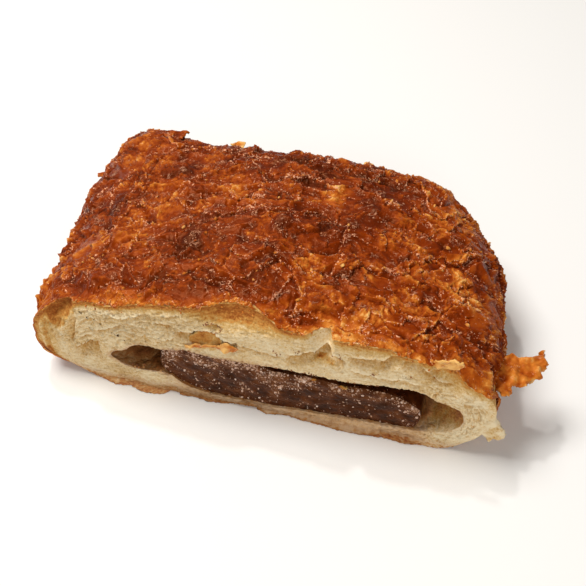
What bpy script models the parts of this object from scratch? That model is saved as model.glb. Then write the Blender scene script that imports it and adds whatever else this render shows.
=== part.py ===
"""Half of a baked apple strudel: a pillow of flaky pastry cut across, with a slab of apple filling in its pocket.

Metres, +Z up. +X runs along the cut, +Y goes from the cut to the baked back end. The origin is under the middle
of the whole, on the surface it lies on.
"""

import math

import bmesh
import bpy
from mathutils import Vector, noise

# Pastry, measured on the loaf shape before its skin is made uneven.
HALF_LENGTH = 0.0630  # half of the cut, end to end
DEPTH = 0.0740  # from the cut to the baked back end
CUT_Y = -0.0372
MIDDLE_X = -0.0046  # the torn flake at the right end makes the whole longer on that side
DOME_HEIGHT = 0.0368  # the top over the surface it lies on
DOME_FALL = (0.0070, 0.0030)  # how much lower the top is towards the left and the right end
DOME_CURVE = (2.6, 3.2)  # the higher, the fuller the left and the right shoulder
SIDE_HEIGHT = (0.0142, 0.0082)  # how high the left and the right end bulge out furthest
SKIRT_CURVE = 4.6  # the higher, the tighter the lower edge turns under
BACK_CORNER = (7.0, 3.2)  # the higher, the squarer the left and the right back corner in plan
BACK_SLOPE = (2.3, 1.15)  # the higher, the later the left and the right side turn towards the back
CUT_PINCH = 0.0042  # the left end is drawn in at the cut, over the next length
CUT_PINCH_REACH = 0.0080
BASE_FLAT = 0.0009  # what the weight of the pastry flattens underneath
GRID = (46, 26, 12)  # faces along X, Y and Z

# Uneven skin: wide swells, and the smaller blisters on them.
SWELL_SIZE = 0.021
SWELL_HEIGHT = 0.0011
BLISTER_SIZE = 0.0075
BLISTER_HEIGHT = 0.0007

# Pocket and filling. The slab fills the pocket but for a gap above it and a hollow at each end, near the cut.
SLAB_LEFT = -0.0284
SLAB_RIGHT = 0.0394
SLAB_LOW = 0.0032
SLAB_HIGH = 0.0181
SLAB_SAG = 0.0008  # the top of the slab sinks at mid length
SLAB_LIP = 0.0006  # how far the slab stays behind the cut
SLAB_BACK = CUT_Y + 0.0590
SLAB_GAP = 0.0005  # between the slab and the pastry around it
HOLLOW_LEFT = -0.0427
HOLLOW_RIGHT = 0.0494
HOLLOW_LOW = (0.0062, 0.0058)  # its floor, at its left and its right end
HOLLOW_HIGH = (0.0178, 0.0205)
HOLLOW_DEPTH = 0.0240
OVERSHOOT = 0.0050  # how far a cutter starts in front of the cut

# A burst bubble in the left end of the cut.
BUBBLE_CENTRE = (-0.0548, CUT_Y, 0.0192)
BUBBLE_SIZE = (0.0040, 0.0045, 0.0048)

# A torn flake that stands off the right end, beside the cut.
FLAKE_START = Vector((0.0490, CUT_Y + 0.0100, 0.0170))
FLAKE_END = Vector((0.0670, CUT_Y + 0.0165, 0.0212))
FLAKE_WIDTH = 0.0125
FLAKE_THICKNESS = 0.0018
FLAKE_WAVE = 0.0009

CRUST_COLOUR = (0.27, 0.075, 0.022, 1.0)
FILLING_COLOUR = (0.105, 0.043, 0.020, 1.0)


def clear_scene():
    for obj in list(bpy.data.objects):
        bpy.data.objects.remove(obj, do_unlink=True)


def new_collection(name):
    collection = bpy.data.collections.new(name)
    bpy.context.scene.collection.children.link(collection)
    return collection


def new_material(name, colour, roughness):
    material = bpy.data.materials.new(name)
    material.use_nodes = True
    shader = material.node_tree.nodes["Principled BSDF"]
    shader.inputs["Base Color"].default_value = colour
    shader.inputs["Roughness"].default_value = roughness
    shader.inputs["Metallic"].default_value = 0.0
    material.diffuse_color = colour
    return material


def grid_box(faces):
    """A cube from -1 to 1 whose sides are split into this many faces along X, Y and Z."""
    mesh = bmesh.new()
    bmesh.ops.create_cube(mesh, size=2.0)
    for axis, count in enumerate(faces):
        along = [edge for edge in mesh.edges if abs((edge.verts[1].co - edge.verts[0].co)[axis]) > 1.0]
        bmesh.ops.subdivide_edges(mesh, edges=along, cuts=count - 1, use_grid_fill=True)
    return mesh


def add_object(name, mesh, collection):
    bmesh.ops.recalc_face_normals(mesh, faces=mesh.faces)
    data = bpy.data.meshes.new(name)
    mesh.to_mesh(data)
    mesh.free()
    data.shade_smooth()
    data.set_sharp_from_angle(angle=math.radians(50))
    obj = bpy.data.objects.new(name, data)
    collection.objects.link(obj)
    return obj


def add_helper(name, mesh, collection):
    """A body that only cuts or joins another one."""
    helper = add_object(name, mesh, collection)
    helper.hide_render = True
    helper.display_type = "WIRE"
    return helper


def add_boolean(obj, helper, operation):
    modifier = obj.modifiers.new(helper.name, "BOOLEAN")
    modifier.operation = operation
    modifier.object = helper
    modifier.solver = "EXACT"


def rounded(value, power):
    """How far out a rounded edge still reaches at this share of the way to it, from 1 in the middle to 0 at the edge."""
    return max(0.0, 1.0 - abs(value) ** power) ** (1.0 / power)


def unevenness(point):
    """How far the skin stands out at this point, in metres."""
    swell = noise.noise(point / SWELL_SIZE + Vector((3.1, 0.0, 7.7)))
    blister = noise.noise(point / BLISTER_SIZE + Vector((0.0, 5.3, 1.9)))
    return SWELL_HEIGHT * swell + BLISTER_HEIGHT * blister


def mix(left_and_right, across):
    """Between the value at the left end, where across is -1, and the value at the right end, where it is 1."""
    left, right = left_and_right
    return left + (right - left) * (across + 1.0) / 2.0


def loaf_point(across, along, up):
    """Maps the cube onto the baked pillow: a superellipsoid that is cut through its middle."""
    back = (along + 1.0) / 2.0
    slope = mix(BACK_SLOPE, across)
    corner = mix(BACK_CORNER, across)
    curve = mix(DOME_CURVE, across) if up > 0.0 else SKIRT_CURVE
    plan = (abs(across) ** corner + back ** (slope * corner)) ** (1.0 / corner)
    spread = (plan**curve + abs(up) ** curve) ** (1.0 / curve)
    # Points inside the cut keep their share of the way out, and all others lie on the skin.
    reach = max(abs(across), back, abs(up)) / spread if spread > 0.0 else 0.0
    share = across * reach
    rise = up * reach
    y = DEPTH * back * reach ** (1.0 / slope)
    pinch = CUT_PINCH * max(0.0, -share) ** 3 * math.exp(-((y / CUT_PINCH_REACH) ** 2))
    side = mix(SIDE_HEIGHT, share)
    above = DOME_HEIGHT - mix(DOME_FALL, share) * abs(share) - side
    z = side + rise * (above if up > 0.0 else side + BASE_FLAT)
    return Vector((MIDDLE_X + HALF_LENGTH * share + pinch, CUT_Y + y, z))


def pastry_mesh():
    mesh = grid_box(GRID)
    on_cut = {vert for vert in mesh.verts if vert.co.y < -0.999}
    for vert in mesh.verts:
        vert.co = loaf_point(*vert.co)
    mesh.normal_update()
    pushed = {vert: vert.normal * unevenness(vert.co) for vert in mesh.verts}
    for vert, push in pushed.items():
        if vert in on_cut:
            push.y = 0.0
        vert.co += push
        vert.co.z = max(0.0, vert.co.z)
    return mesh


def slab_mesh(gap):
    """The filling's shape, or with a gap the room around it, which opens through the cut."""
    mesh = grid_box((14, 8, 4))
    half = (SLAB_RIGHT - SLAB_LEFT) / 2
    middle = (SLAB_RIGHT + SLAB_LEFT) / 2
    front = CUT_Y + SLAB_LIP
    at_front = {vert for vert in mesh.verts if vert.co.y < -0.999}
    for vert in mesh.verts:
        across, along, up = vert.co
        high = SLAB_HIGH - SLAB_SAG * math.cos(across * math.pi / 2)
        thick = 0.55 + 0.45 * rounded(across, 5.0)
        back = front + (SLAB_BACK - front) * (0.82 + 0.18 * rounded(across, 3.0))
        vert.co.x = middle + half * across * (1.0 - 0.06 * abs(up) ** 3)
        vert.co.y = front + (back - front) * (along + 1.0) / 2
        vert.co.z = (SLAB_LOW + high) / 2 + (high - SLAB_LOW) / 2 * up * thick
    if gap:
        mesh.normal_update()
        for vert in mesh.verts:
            outwards = vert.normal.copy()
            if vert in at_front:
                outwards = Vector((outwards.x, 0.0, outwards.z)).normalized()
                vert.co.y = CUT_Y - OVERSHOOT
            vert.co += outwards * gap
    return mesh


def hollow_mesh():
    """The air above the slab and at its ends: a flat lens that goes a little way in from the cut."""
    mesh = grid_box((24, 6, 4))
    half = (HOLLOW_RIGHT - HOLLOW_LEFT) / 2
    middle = (HOLLOW_RIGHT + HOLLOW_LEFT) / 2
    start = CUT_Y - OVERSHOOT
    for vert in mesh.verts:
        across, along, up = vert.co
        low = mix(HOLLOW_LOW, across)
        high = mix(HOLLOW_HIGH, across)
        thick = 0.25 + 0.75 * rounded(across, 2.6)
        deep = OVERSHOOT + HOLLOW_DEPTH * (0.45 + 0.55 * rounded(across, 2.0))
        vert.co.x = middle + half * across
        vert.co.y = start + deep * (along + 1.0) / 2
        vert.co.z = (low + high) / 2 + (high - low) / 2 * up * thick
    return mesh


def bubble_mesh():
    mesh = bmesh.new()
    bmesh.ops.create_uvsphere(mesh, u_segments=16, v_segments=10, radius=1.0)
    bmesh.ops.scale(mesh, vec=BUBBLE_SIZE, verts=mesh.verts)
    bmesh.ops.translate(mesh, vec=BUBBLE_CENTRE, verts=mesh.verts)
    return mesh


def flake_mesh():
    """A thin wavy tongue of pastry, nearly level, that narrows towards its free end."""
    mesh = grid_box((8, 4, 1))
    run = FLAKE_END - FLAKE_START
    sideways = Vector((-run.y, run.x, 0.0)).normalized()
    for vert in mesh.verts:
        across, along, up = vert.co
        share = (across + 1.0) / 2
        width = FLAKE_WIDTH * (1.0 - 0.35 * share**2)
        wave = FLAKE_WAVE * math.sin(2.5 * math.pi * share + along)
        vert.co = FLAKE_START + run * share + sideways * (along * width / 2)
        vert.co.z += wave + up * FLAKE_THICKNESS / 2
    return mesh


def make_pastry(parts, helpers):
    pastry = add_object("pastry", pastry_mesh(), parts)
    flake = add_helper("torn_flake", flake_mesh(), helpers)
    add_boolean(pastry, flake, "UNION")
    room = add_helper("slab_room", slab_mesh(SLAB_GAP), helpers)
    add_boolean(pastry, room, "DIFFERENCE")
    hollow = add_helper("hollow", hollow_mesh(), helpers)
    add_boolean(pastry, hollow, "DIFFERENCE")
    bubble = add_helper("bubble", bubble_mesh(), helpers)
    add_boolean(pastry, bubble, "DIFFERENCE")
    pastry.data.materials.append(new_material("baked_crust", CRUST_COLOUR, 0.38))
    return pastry


def make_filling(parts):
    filling = add_object("filling", slab_mesh(0.0), parts)
    filling.data.materials.append(new_material("apple_filling", FILLING_COLOUR, 0.35))
    return filling


clear_scene()
part_collection = new_collection("apple_strudel")
helper_collection = new_collection("cutters")
make_pastry(part_collection, helper_collection)
make_filling(part_collection)
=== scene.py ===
"""Looks of half an apple strudel: crust, cut dough, filling, loose flakes and sugar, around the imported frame."""

import math
import random

import bmesh
import bpy
from mathutils import Euler, Matrix, Vector, noise
from mathutils.bvhtree import BVHTree


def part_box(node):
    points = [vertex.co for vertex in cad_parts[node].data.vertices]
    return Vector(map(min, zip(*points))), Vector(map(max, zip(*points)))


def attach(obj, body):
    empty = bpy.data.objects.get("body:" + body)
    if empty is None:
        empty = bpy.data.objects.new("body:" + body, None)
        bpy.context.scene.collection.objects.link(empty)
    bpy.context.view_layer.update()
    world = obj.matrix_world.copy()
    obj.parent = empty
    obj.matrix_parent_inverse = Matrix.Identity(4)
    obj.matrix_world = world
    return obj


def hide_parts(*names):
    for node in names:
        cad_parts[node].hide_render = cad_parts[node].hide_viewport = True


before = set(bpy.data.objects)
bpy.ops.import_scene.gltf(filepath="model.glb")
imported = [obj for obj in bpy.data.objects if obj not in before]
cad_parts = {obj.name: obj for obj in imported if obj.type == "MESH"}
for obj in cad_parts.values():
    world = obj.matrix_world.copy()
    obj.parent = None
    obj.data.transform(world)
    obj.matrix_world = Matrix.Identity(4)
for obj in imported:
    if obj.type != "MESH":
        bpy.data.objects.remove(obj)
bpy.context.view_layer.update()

# ---- Baked crust -----------------------------------------------------------------------------------------------
# The outer skin of a puff pastry pillow: thin egg-washed sheets that blistered, wrinkled and partly flaked off in
# the oven. A box of faces without its front is rounded into the loaf, and its skin is pushed out along the normals.

noise.seed_set(5)  # the offsets of noise_vector come from this seed
MM = 0.001
pastry_low, pastry_high = (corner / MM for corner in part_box("pastry"))
CUT_Y = pastry_low.y
DEPTH = pastry_high.y - pastry_low.y - 0.6
HALF_LENGTH = 63
MIDDLE_X = pastry_low.x + HALF_LENGTH + 0.9
DOME_HEIGHT = pastry_high.z - 0.8
DOME_FALL = (7, 3)  # how much lower the top is towards the left and the right end
DOME_CURVE = (2.6, 3.2)  # the higher, the fuller the left and the right shoulder
SIDE_HEIGHT = (14.2, 8.2)  # how high the left and the right end bulge out furthest
SKIRT_CURVE = 4.6
BACK_CORNER = (7, 3.2)
BACK_SLOPE = (2.3, 1.15)
CUT_PINCH = 4.2
CUT_PINCH_REACH = 8
CORE_HEIGHT = 12
LIP_WIDTH = 0.55  # how far the torn edge turns in
LOWEST = 0.15  # no part of the skin comes nearer to the table
CRUST_FACES = (400, 246, 76)
PUSHES = (  # where the loaf is pushed in or out: x, y from the cut, z, how far it reaches, and the shift
    ((-60, 70, 26), 12, (0, 1.2, 5)),
    ((-47, 73, 28), 8, (0, 1, 3.4)),
    ((-22, 72, 30), 6, (0, 0.5, 2.2)),
    ((-4, 72, 28), 12, (0, 0.5, 2)),
    ((16, 70, 28), 12, (0, 0.4, 2.6)),
    ((34, 62, 26), 9, (0, 0.4, 1.8)),
    ((-66, 22, 14), 15, (2.6, 0, 0)),
    ((58, 28, 12), 17, (-1.6, 0, 0)),
    ((59, 0, 1), 8, (-4.4, 0, 2)),
    ((60, 9, 8), 10, (-3, 0, 0)),
    ((60, 10, 17), 6.5, (-2.2, 0, 0)),
    ((58, 12, 25), 9, (1, 0, 0.4)),
    ((50, 0, 29), 6.5, (-0.4, 0, -1.9)),
    ((-58, 0, 0), 9, (0.8, 0, 2.4)),
    ((-65, 11, 22), 9, (1.6, 0, 0)),
    ((-39, 0, 31.5), 7, (0, 0, -2.2)),
    ((-27, 0, 34), 7, (0, 0, -1.3)),
    ((-13, 0, 35.5), 8, (0, 0, -1.4)),
    ((5, 0, 36), 8, (0, 0, -2.8)),
    ((17, 0, 35), 7, (0, 0, -1.8)),
    ((31, 0, 33), 7, (0, 0, -0.8)),
    ((-30, 38, 36), 14, (0, 0, -1)),
    ((5, 30, 37), 16, (0, 0, 0.9)),
)
SETBACK = (  # x along the cut, and how far behind it the crust's torn edge lies
    (-64, 0.3), (-59, 1.2), (-56, 2.6), (-51, 2.4), (-49.6, 0.5), (-46, 0.8), (-41, 0.2), (-36, 0.5),
    (-30, 0.6), (-20, 0.5), (-17, 1), (-14, 2.2), (-12, 3.4), (-8, 3.9), (-4, 3.2), (0, 2.3),
    (3, 1), (5, 0.2), (10, 0.2), (12, 2), (14.8, 4.2), (16, 3), (16.8, 0.3), (20, 0.4),
    (26, 0.5), (30, 1.2), (32, 0.5), (36, 0.2), (39.5, 0.2), (40.5, 1.6), (46, 2.4), (48, 0.8),
    (50, 0.2), (60, 0.3),
)
TONES = (  # x, y from the cut, how wide, how much browner: darker and paler fields of the top
    (-55, 34, 9, 0.16), (-26, 24, 7, 0.18), (-2, 60, 11, 0.16), (14, 58, 10, 0.16),
    (10, 34, 9, 0.12), (46, 42, 7, 0.12), (36, 20, 6, 0.08), (-6, 14, 8, 0.05),
    (-45, 22, 8, -0.09), (-48, 62, 10, -0.12), (-22, 44, 9, -0.10), (6, 46, 4, -0.34),
    (24, 7, 7, -0.14), (-40, 5, 9, -0.06), (17, 3, 5, -0.22), (47, 8, 6, 0.06),
    (-63, 14, 7, -0.22),
)


def smooth(low, high, value):
    """From 0 below low to 1 above high, without a corner."""
    share = min(1, max(0, (value - low) / (high - low)))
    return share * share * (3 - 2 * share)


def ripple(x, y, z):
    """Smooth noise at a place, about -1 to 1."""
    return noise.noise(Vector((x, y, z)))


def line_at(points, x):
    """The height of a line through (x, height) points, straight between them."""
    for (x0, h0), (x1, h1) in zip(points, points[1:]):
        if x <= x1:
            return h0 + (h1 - h0) * max(0, x - x0) / (x1 - x0)
    return points[-1][1]


def mix(left_and_right, across):
    """A value between the one for the left end, at -1, and the one for the right end, at 1."""
    left, right = left_and_right
    return left + (right - left) * (across + 1) / 2


def loaf(across, back, up):
    """The loaf's skin, in mm, for a point of the box from -1 to 1 across, 0 to 1 back and -1 to 1 up."""
    slope = mix(BACK_SLOPE, across)
    corner = mix(BACK_CORNER, across)
    curve = mix(DOME_CURVE, across) if up > 0 else SKIRT_CURVE
    plan = (abs(across) ** corner + back ** (slope * corner)) ** (1 / corner)
    spread = (plan**curve + abs(up) ** curve) ** (1 / curve)
    share = across / spread
    rise = up / spread
    y = DEPTH * back * spread ** (-1 / slope)
    pinch = CUT_PINCH * max(0, -share) ** 3 * math.exp(-((y / CUT_PINCH_REACH) ** 2))
    side = mix(SIDE_HEIGHT, share)
    above = DOME_HEIGHT - mix(DOME_FALL, share) * abs(share) - side
    spot = Vector((MIDDLE_X + HALF_LENGTH * share + pinch, y, side + rise * (above if up > 0 else side + 0.9)))
    shift = Vector((0, 0, 0))
    for centre, reach, push in PUSHES:
        far = (spot - Vector(centre)).length_squared / reach**2
        if far < 6:
            shift += Vector(push) * math.exp(-far)
    spot += shift
    return Vector((spot.x, CUT_Y + spot.y, max(0, spot.z)))


def setback(x):
    """How far behind the cut the crust starts, in mm, with its ragged edge."""
    ragged = ripple(x / 2.3, 4, 0) + 0.7 * ripple(x / 0.8, 9, 0)
    return max(0.05, 0.3 + line_at(SETBACK, x) + ragged)


def plates(spot, seed):
    """Broken flakes: this one's height, how far its edge is, its step over its neighbour, and its tone."""
    distances, centres = noise.voronoi(spot + Vector((seed, seed, seed)))
    own = noise.cell_vector(centres[0] * 7.3)
    other = noise.cell_vector(centres[1] * 7.3)
    tilt = (spot + Vector((seed, seed, seed)) - centres[0]).dot(own)
    return own.x + 0.9 * tilt, distances[1] - distances[0], own.x - other.x, own.y


def crust_relief(spot):
    """Height of the skin over the loaf in mm, its brownness with painted light and shade, its roughness and how much
    torn rim it is.
    """
    bent = spot + noise.noise_vector(spot / 9) * 2.6 + noise.noise_vector(spot / 2.2) * 0.8
    swell = noise.fractal(spot / 18, 1, 2, 2)
    sheet, sheet_gap, sheet_over, sheet_tone = plates(Vector((bent.x / 20, bent.y / 11, bent.z / 11)), 21)
    wide, wide_gap, wide_over, wide_tone = plates(Vector((bent.x / 9, bent.y / 5.5, bent.z / 5.5)), 3)
    small, small_gap, small_over, small_tone = plates(bent / 2.1, 11)
    calm = smooth(-0.15, 0.13, noise.fractal(bent / 7 + Vector((7.1, 0, 3.3)), 0.9, 2.2, 3))
    fold = 1 - abs(ripple(bent.x / 22 + bent.y / 50, bent.y / 6.5, bent.z / 6.5 + 6))
    crease = fold**8
    valley = (1 - abs(ripple(bent.x / 16 + bent.y / 40 + 7, bent.y / 7.5, bent.z / 7.5))) ** 9
    wrinkle = (1 - abs(noise.noise(Vector((bent.x / 5, bent.y / 2.6, bent.z / 2.6)) + Vector((9, 1, 4))))) ** 5
    crumple = 1 - abs(noise.noise(bent / 1.7 + Vector((5, 2, 8))))
    crumple = crumple**3 - 0.4
    fine = noise.noise(spot / 0.8)
    blister = smooth(0.12, 0.5, noise.noise(bent / 6 + Vector((11, 3, 0))))
    sheet_rim = math.exp(-sheet_gap / 0.05) * smooth(0, 0.4, sheet_over)
    sheet_crack = math.exp(-sheet_gap / 0.04) * smooth(0, 0.4, -sheet_over)
    wide_rim = math.exp(-wide_gap / 0.07) * smooth(0, 0.5, wide_over)
    wide_crack = math.exp(-wide_gap / 0.06) * smooth(0, 0.5, -wide_over)
    small_rim = math.exp(-small_gap / 0.10) * smooth(0, 0.6, small_over) * (1 - calm)
    small_crack = math.exp(-small_gap / 0.10) * smooth(0, 0.6, -small_over) * (1 - calm)
    rough = 1 - 0.85 * calm
    height = 0.8 * swell + 0.42 * wide + 0.20 * wide_rim - 0.30 * wide_crack + 0.85 * crease + 0.6 * blister
    height += 0.45 * sheet + 0.35 * sheet_rim - 0.45 * sheet_crack - 0.9 * valley
    height += 0.32 * (wrinkle - 0.4) + rough * (0.24 * small + 0.30 * crumple + 0.08 * fine)
    height += 0.14 * small_rim - 0.20 * small_crack
    # Painted light: the sheets' rims are paler as highlights, and their cracks and the valleys darker as painted shade.
    brown = 0.50 + 0.10 * swell + 0.08 * wide_tone + 0.08 * calm + 0.10 * blister
    brown = brown - 0.12 * crease - 0.14 * (wrinkle - 0.4)
    brown += rough * (0.09 * small_tone - 0.24 * crumple - 0.06) - 0.20 * wide_rim - 0.18 * small_rim
    brown += (0.14 + 0.16 * rough) * wide_crack + 0.12 * small_crack
    brown += 0.08 * sheet_tone - 0.22 * sheet_rim + 0.24 * sheet_crack + 0.20 * valley
    brown -= 0.10 * smooth(15, 45, spot.x)
    for x, y, width, amount in TONES:
        far = ((spot.x - x) ** 2 + (spot.y - CUT_Y - y) ** 2) / width**2
        if far < 5:
            brown += amount * math.exp(-far)
    return height - 0.25, 0.5 + 1.2 * (brown - 0.5), rough, max(sheet_rim, wide_rim, 0.7 * small_rim)


def sized_box(faces, open_sides):
    """A cube from -1 to 1, open at the sides whose normals are given, split into this many faces along each axis."""
    mesh = bmesh.new()
    bmesh.ops.create_cube(mesh, size=2)
    mesh.normal_update()
    gone = [face for face in mesh.faces if any(face.normal.dot(Vector(side)) > 0.9 for side in open_sides)]
    bmesh.ops.delete(mesh, geom=gone, context="FACES")
    for axis, count in enumerate(faces):
        along = [edge for edge in mesh.edges if abs((edge.verts[1].co - edge.verts[0].co)[axis]) > 1]
        bmesh.ops.subdivide_edges(mesh, edges=along, cuts=count - 1, use_grid_fill=True)
    return mesh


def new_layers(mesh, *names):
    """Named attributes of a mesh's corners, one number each."""
    return [mesh.verts.layers.float.new(name) for name in names]


def paint(corners, layers, values):
    """Gives corners the same values in the layers."""
    for vert in corners:
        for layer, value in zip(layers, values):
            vert[layer] = value


def link(name, data):
    """An object of the scene that shows the data."""
    holder = bpy.data.objects.new(name, data)
    bpy.context.scene.collection.objects.link(holder)
    return holder


def mesh_object(name, mesh, material):
    """A mesh as a smooth object at the origin, with its material."""
    data = bpy.data.meshes.new(name)
    mesh.to_mesh(data)
    mesh.free()
    data.shade_smooth()
    data.materials.append(material)
    return link(name, data)


def new_object(name, mesh, material, slot, *nodes):
    """A finished piece: its mesh, its material, and what it stands for in the frame."""
    piece = mesh_object(name, mesh, material)
    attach(piece, "root")
    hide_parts(*nodes)
    return piece


def colour(hexed):
    """An sRGB hex colour as a linear RGBA."""
    channels = [int(hexed[i : i + 2], 16) / 255 for i in (1, 3, 5)]
    return [c / 12.92 if c <= 0.04045 else ((c + 0.055) / 1.055) ** 2.4 for c in channels] + [1]


def add(tree, kind, *values, **named):
    """Adds a node and returns it. Values fill its first inputs; a name is an input's, its number's or a property's."""
    node = tree.nodes.new("ShaderNode" + kind)
    inputs = dict(enumerate(values))
    for key, value in named.items():
        if key[0] == "_":
            inputs[int(key[1:])] = value
        elif key in node.inputs:
            inputs[key] = value
        else:
            setattr(node, key, value)
    for key, value in inputs.items():
        source = value.outputs[0] if isinstance(value, bpy.types.Node) else value
        if isinstance(source, bpy.types.NodeSocket):
            tree.links.new(source, node.inputs[key])
        else:
            node.inputs[key].default_value = source
    return node


def ramp(tree, value, stops):
    """A colour ramp through (place, hex colour) stops, read at a socket."""
    node = add(tree, "ValToRGB", Fac=value)
    while len(node.color_ramp.elements) < len(stops):
        node.color_ramp.elements.new(0.5)
    for element, (place, hexed) in zip(node.color_ramp.elements, stops):
        element.position = place
        element.color = colour(hexed)
    return node.outputs["Color"]


def new_material(name):
    """A Principled material and its tree, its shader and its object coordinates."""
    material = bpy.data.materials.new(name)
    material.use_nodes = True
    tree = material.node_tree
    place = tree.nodes.new("ShaderNodeTexCoord").outputs["Object"]
    return material, tree, tree.nodes["Principled BSDF"], place


def crust_material():
    """Egg-washed puff pastry crust: red-brown glossy blisters, paler dry flakes, painted glints and painted edge
    shadows.
    """
    material, tree, shader, place = new_material("egg_washed_crust")
    looks = [add(tree, "Attribute", attribute_name=name) for name in ("brown", "rough", "rim")]
    brown, rough, rim = (look.outputs["Fac"] for look in looks)
    blotch = add(tree, "TexNoise", Vector=place, Scale=1 / (3.5 * MM), Detail=4, Roughness=0.6)
    grit = add(tree, "TexNoise", Vector=place, Scale=1 / (0.8 * MM), Detail=3, Roughness=0.65)
    mixed = add(tree, "Math", blotch, 0.34, -0.17, operation="MULTIPLY_ADD")
    toned = add(tree, "Math", mixed, brown, operation="ADD")
    spread = add(tree, "Math", rough, 0.28, 0.12, operation="MULTIPLY_ADD")
    middle = add(tree, "Math", grit, 0.5, operation="SUBTRACT")
    tone = add(tree, "Math", middle, spread, toned, operation="MULTIPLY_ADD")
    stops = ((0, "#F2BE70"), (0.22, "#D07C2C"), (0.42, "#A84E12"), (0.60, "#853004"), (0.78, "#662002"), (1, "#4A1602"))
    baked = ramp(tree, tone.outputs[0], stops)
    # Painted glints: pale pinkish specks mixed into the colour, thickest on the rims and in patches.
    glint_noise = add(tree, "TexNoise", Vector=place, Scale=1 / (0.48 * MM), Detail=2, Roughness=0.6)
    glint_chance = add(tree, "Math", rim, 0.2, glint_noise, operation="MULTIPLY_ADD")
    patchy = add(tree, "MapRange", blotch, 0.46, 0.6, 0, 0.055)
    glint_spots = add(tree, "Math", patchy, glint_chance, operation="ADD")
    painted_glints = add(tree, "MapRange", glint_spots, 0.71, 0.75, 0, 0.95)
    # Painted highlight lines along torn edges, each with a painted shadow band just under it.
    edges = add(tree, "TexNoise", Vector=place, Scale=1 / (3.6 * MM), Detail=3, Roughness=0.6, Distortion=0.5)
    off_edge = add(tree, "Math", edges, 0.5, operation="SUBTRACT")
    from_edge = add(tree, "Math", off_edge, operation="ABSOLUTE")
    painted_highlight_line = add(tree, "MapRange", from_edge, 0.02, 0.004, 0, 1)
    painted_shadow_band = add(tree, "MapRange", off_edge, 0.07, 0.018, 0, 1)
    above_edge = add(tree, "Math", off_edge, 0.016, operation="GREATER_THAN")
    torn_here = add(tree, "MapRange", blotch, 0.5, 0.6, 0, 1)
    shadow = add(tree, "Math", painted_shadow_band, above_edge, operation="MULTIPLY")
    shade = add(tree, "Math", shadow, torn_here, operation="MULTIPLY")
    shaded_tone = add(tree, "Math", shade, 0.42, operation="MULTIPLY")
    light = add(tree, "Math", painted_highlight_line, torn_here, operation="MULTIPLY")
    lit_share = add(tree, "Math", light, 0.45, operation="MULTIPLY")
    lit = add(tree, "Math", lit_share, painted_glints, operation="MAXIMUM")
    shaded = add(tree, "Mix", shaded_tone, _6=baked, _7=colour("#4A1602"), data_type="RGBA")
    mixed_colour = add(tree, "Mix", lit, _6=shaded.outputs[2], _7=colour("#EDB08A"), data_type="RGBA")
    tree.links.new(mixed_colour.outputs[2], shader.inputs["Base Color"])
    upright = add(tree, "Attribute", attribute_name="upright").outputs["Fac"]
    gloss = add(tree, "MapRange", rough, 0, 1, 0.24, 0.44)
    dulled = add(tree, "Math", upright, 0.26, gloss, operation="MULTIPLY_ADD")
    tree.links.new(dulled.outputs[0], shader.inputs["Roughness"])
    grits = add(tree, "Math", grit, 0.8, glint_noise, operation="MULTIPLY_ADD")
    bumps = add(tree, "Math", light, 0.5, grits, operation="MULTIPLY_ADD")
    strength = add(tree, "Math", rough, 0.46, 0.26, operation="MULTIPLY_ADD")
    bump = add(tree, "Bump", Strength=strength, Distance=0.45 * MM, Height=bumps)
    tree.links.new(bump.outputs[0], shader.inputs["Normal"])
    shader.inputs["Specular IOR Level"].default_value = 0.31
    sheen = add(tree, "MapRange", upright, 0, 1, 0.31, 0.05)
    tree.links.new(sheen.outputs[0], shader.inputs["Specular IOR Level"])
    shader.inputs["Specular Tint"].default_value = colour("#FFA060")
    return material


def to_core(spot):
    """A step of 1 mm from a point of the skin towards the loaf's long middle line."""
    return Vector((MIDDLE_X - spot.x, 0, CORE_HEIGHT - spot.z)).normalized()


def near_wing(spot):
    """How near a point of the skin lies to the flake at the lower right end, from 0 to 1."""
    return smooth(48, 53, spot.x) * smooth(23.5, 19, spot.z)


def finish_mesh(mesh):
    """Brings a mesh in mm to metres and turns its faces outwards."""
    bmesh.ops.scale(mesh, vec=(MM, MM, MM), verts=mesh.verts)
    bmesh.ops.recalc_face_normals(mesh, faces=mesh.faces)


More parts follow.
